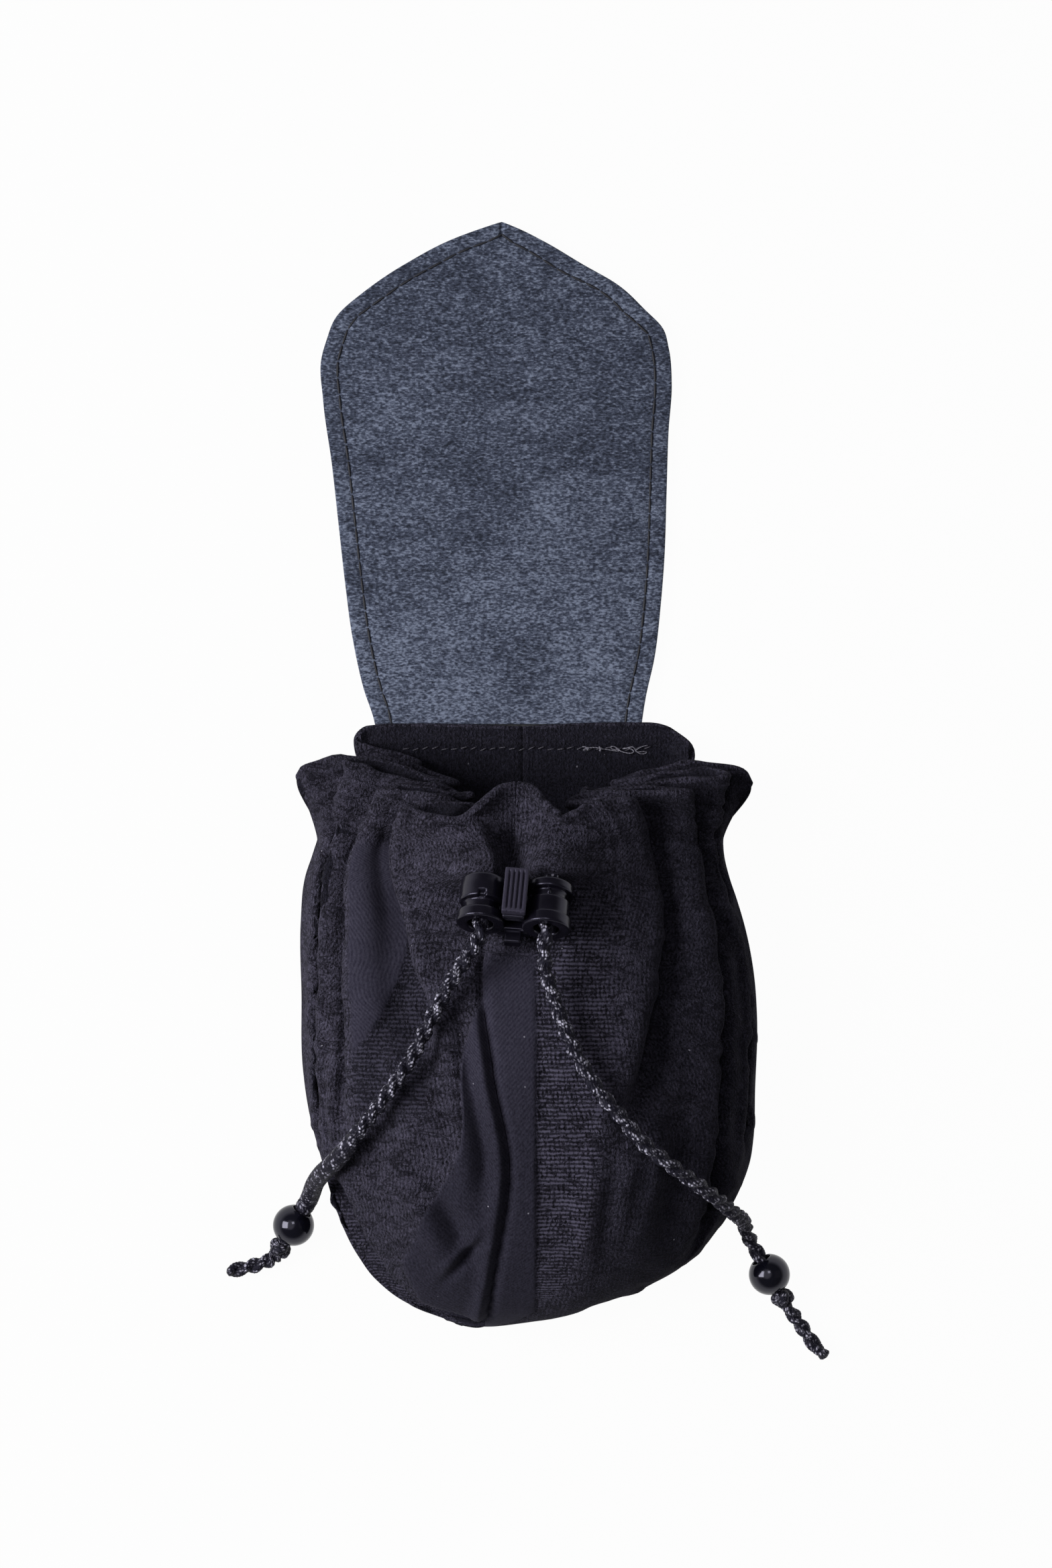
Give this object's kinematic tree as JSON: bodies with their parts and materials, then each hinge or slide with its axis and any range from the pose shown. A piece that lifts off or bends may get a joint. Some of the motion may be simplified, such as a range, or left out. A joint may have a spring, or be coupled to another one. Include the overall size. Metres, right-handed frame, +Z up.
{
  "type": "drawstring dice bag",
  "caption": "Gathered black velvet drawstring bag for dice, lying on its back, with a suede-lined leather flap, a twin-barrel spring cord lock and a bead on each cord end.",
  "frame": {"origin": "on the table, under the middle of the bag's flat back", "axes": "+Y from the foot of the bag through its mouth to the flap's tip, +Z up out of the front of the bag, +X to the right in the picture"},
  "size_m": [0.1536, 0.2886, 0.0564],
  "materials": {
    "black_velvet": "ribbed velvet with plain twill patches",
    "black_cotton_tape": "plain woven cotton",
    "twisted_cord": "matt twisted cord",
    "black_leather": "smooth grain side",
    "blue_grey_suede": "matt napped suede",
    "black_acetal": "satin moulded plastic",
    "spring_steel": "bright drawn wire",
    "black_resin": "polished resin"
  },
  "bodies": {
    "bag": {"front_panel_left": "black_velvet", "front_panel_right": "black_velvet", "back_panel_left": "black_velvet", "back_panel_right": "black_velvet", "casing_tape": "black_cotton_tape", "drawstring_loop": "twisted_cord", "left_cord": "twisted_cord", "right_cord": "twisted_cord", "left_knot": "twisted_cord", "right_knot": "twisted_cord", "flap_leather_root": "black_leather"},
    "flap_neck": {"flap_leather_neck": "black_leather", "flap_suede_neck": "blue_grey_suede"},
    "flap_tip": {"flap_leather_tip": "black_leather", "flap_suede_tip": "blue_grey_suede"},
    "lock": {"lock_body": "black_acetal", "lock_spring": "spring_steel"},
    "button": {"lock_button": "black_acetal"},
    "left_stopper": {"left_bead": "black_resin"},
    "right_stopper": {"right_bead": "black_resin"}
  },
  "joints": [
    {"name": "flap_fold", "type": "hinge", "parent": "bag", "child": "flap_neck", "pos_m": [-0.0068, 0.077, 0.0012], "axis": [1, 0, 0], "range_deg": [0, 93]},
    {"name": "flap_drape", "type": "hinge", "parent": "flap_neck", "child": "flap_tip", "pos_m": [-0.0068, 0.139, 0.0023], "axis": [1, 0, 0], "range_deg": [0, 87]},
    {"name": "lock_slide", "type": "slide", "parent": "bag", "child": "lock", "axis": [-0.0872, -0.8876, 0.4523], "range_m": [0, 0.015], "deforming": ["left_cord", "right_cord", "drawstring_loop"]},
    {"name": "button_press", "type": "slide", "parent": "lock", "child": "button", "axis": [0, -0.454, -0.891], "range_m": [0, 0.002], "stiffness_N_per_m": 900, "springref_m": -0.002, "deforming": ["lock_spring"]},
    {"name": "left_bead_slide", "type": "slide", "parent": "bag", "child": "left_stopper", "axis": [0.5011, 0.8419, 0.2004], "range_m": [0, 0.0025]},
    {"name": "right_bead_slide", "type": "slide", "parent": "bag", "child": "right_stopper", "axis": [-0.4786, 0.867, 0.1387], "range_m": [0, 0.005]}
  ],
  "couplings": [
    {"joint": "flap_drape", "follows": "flap_fold", "ratio": 0.935}
  ]
}
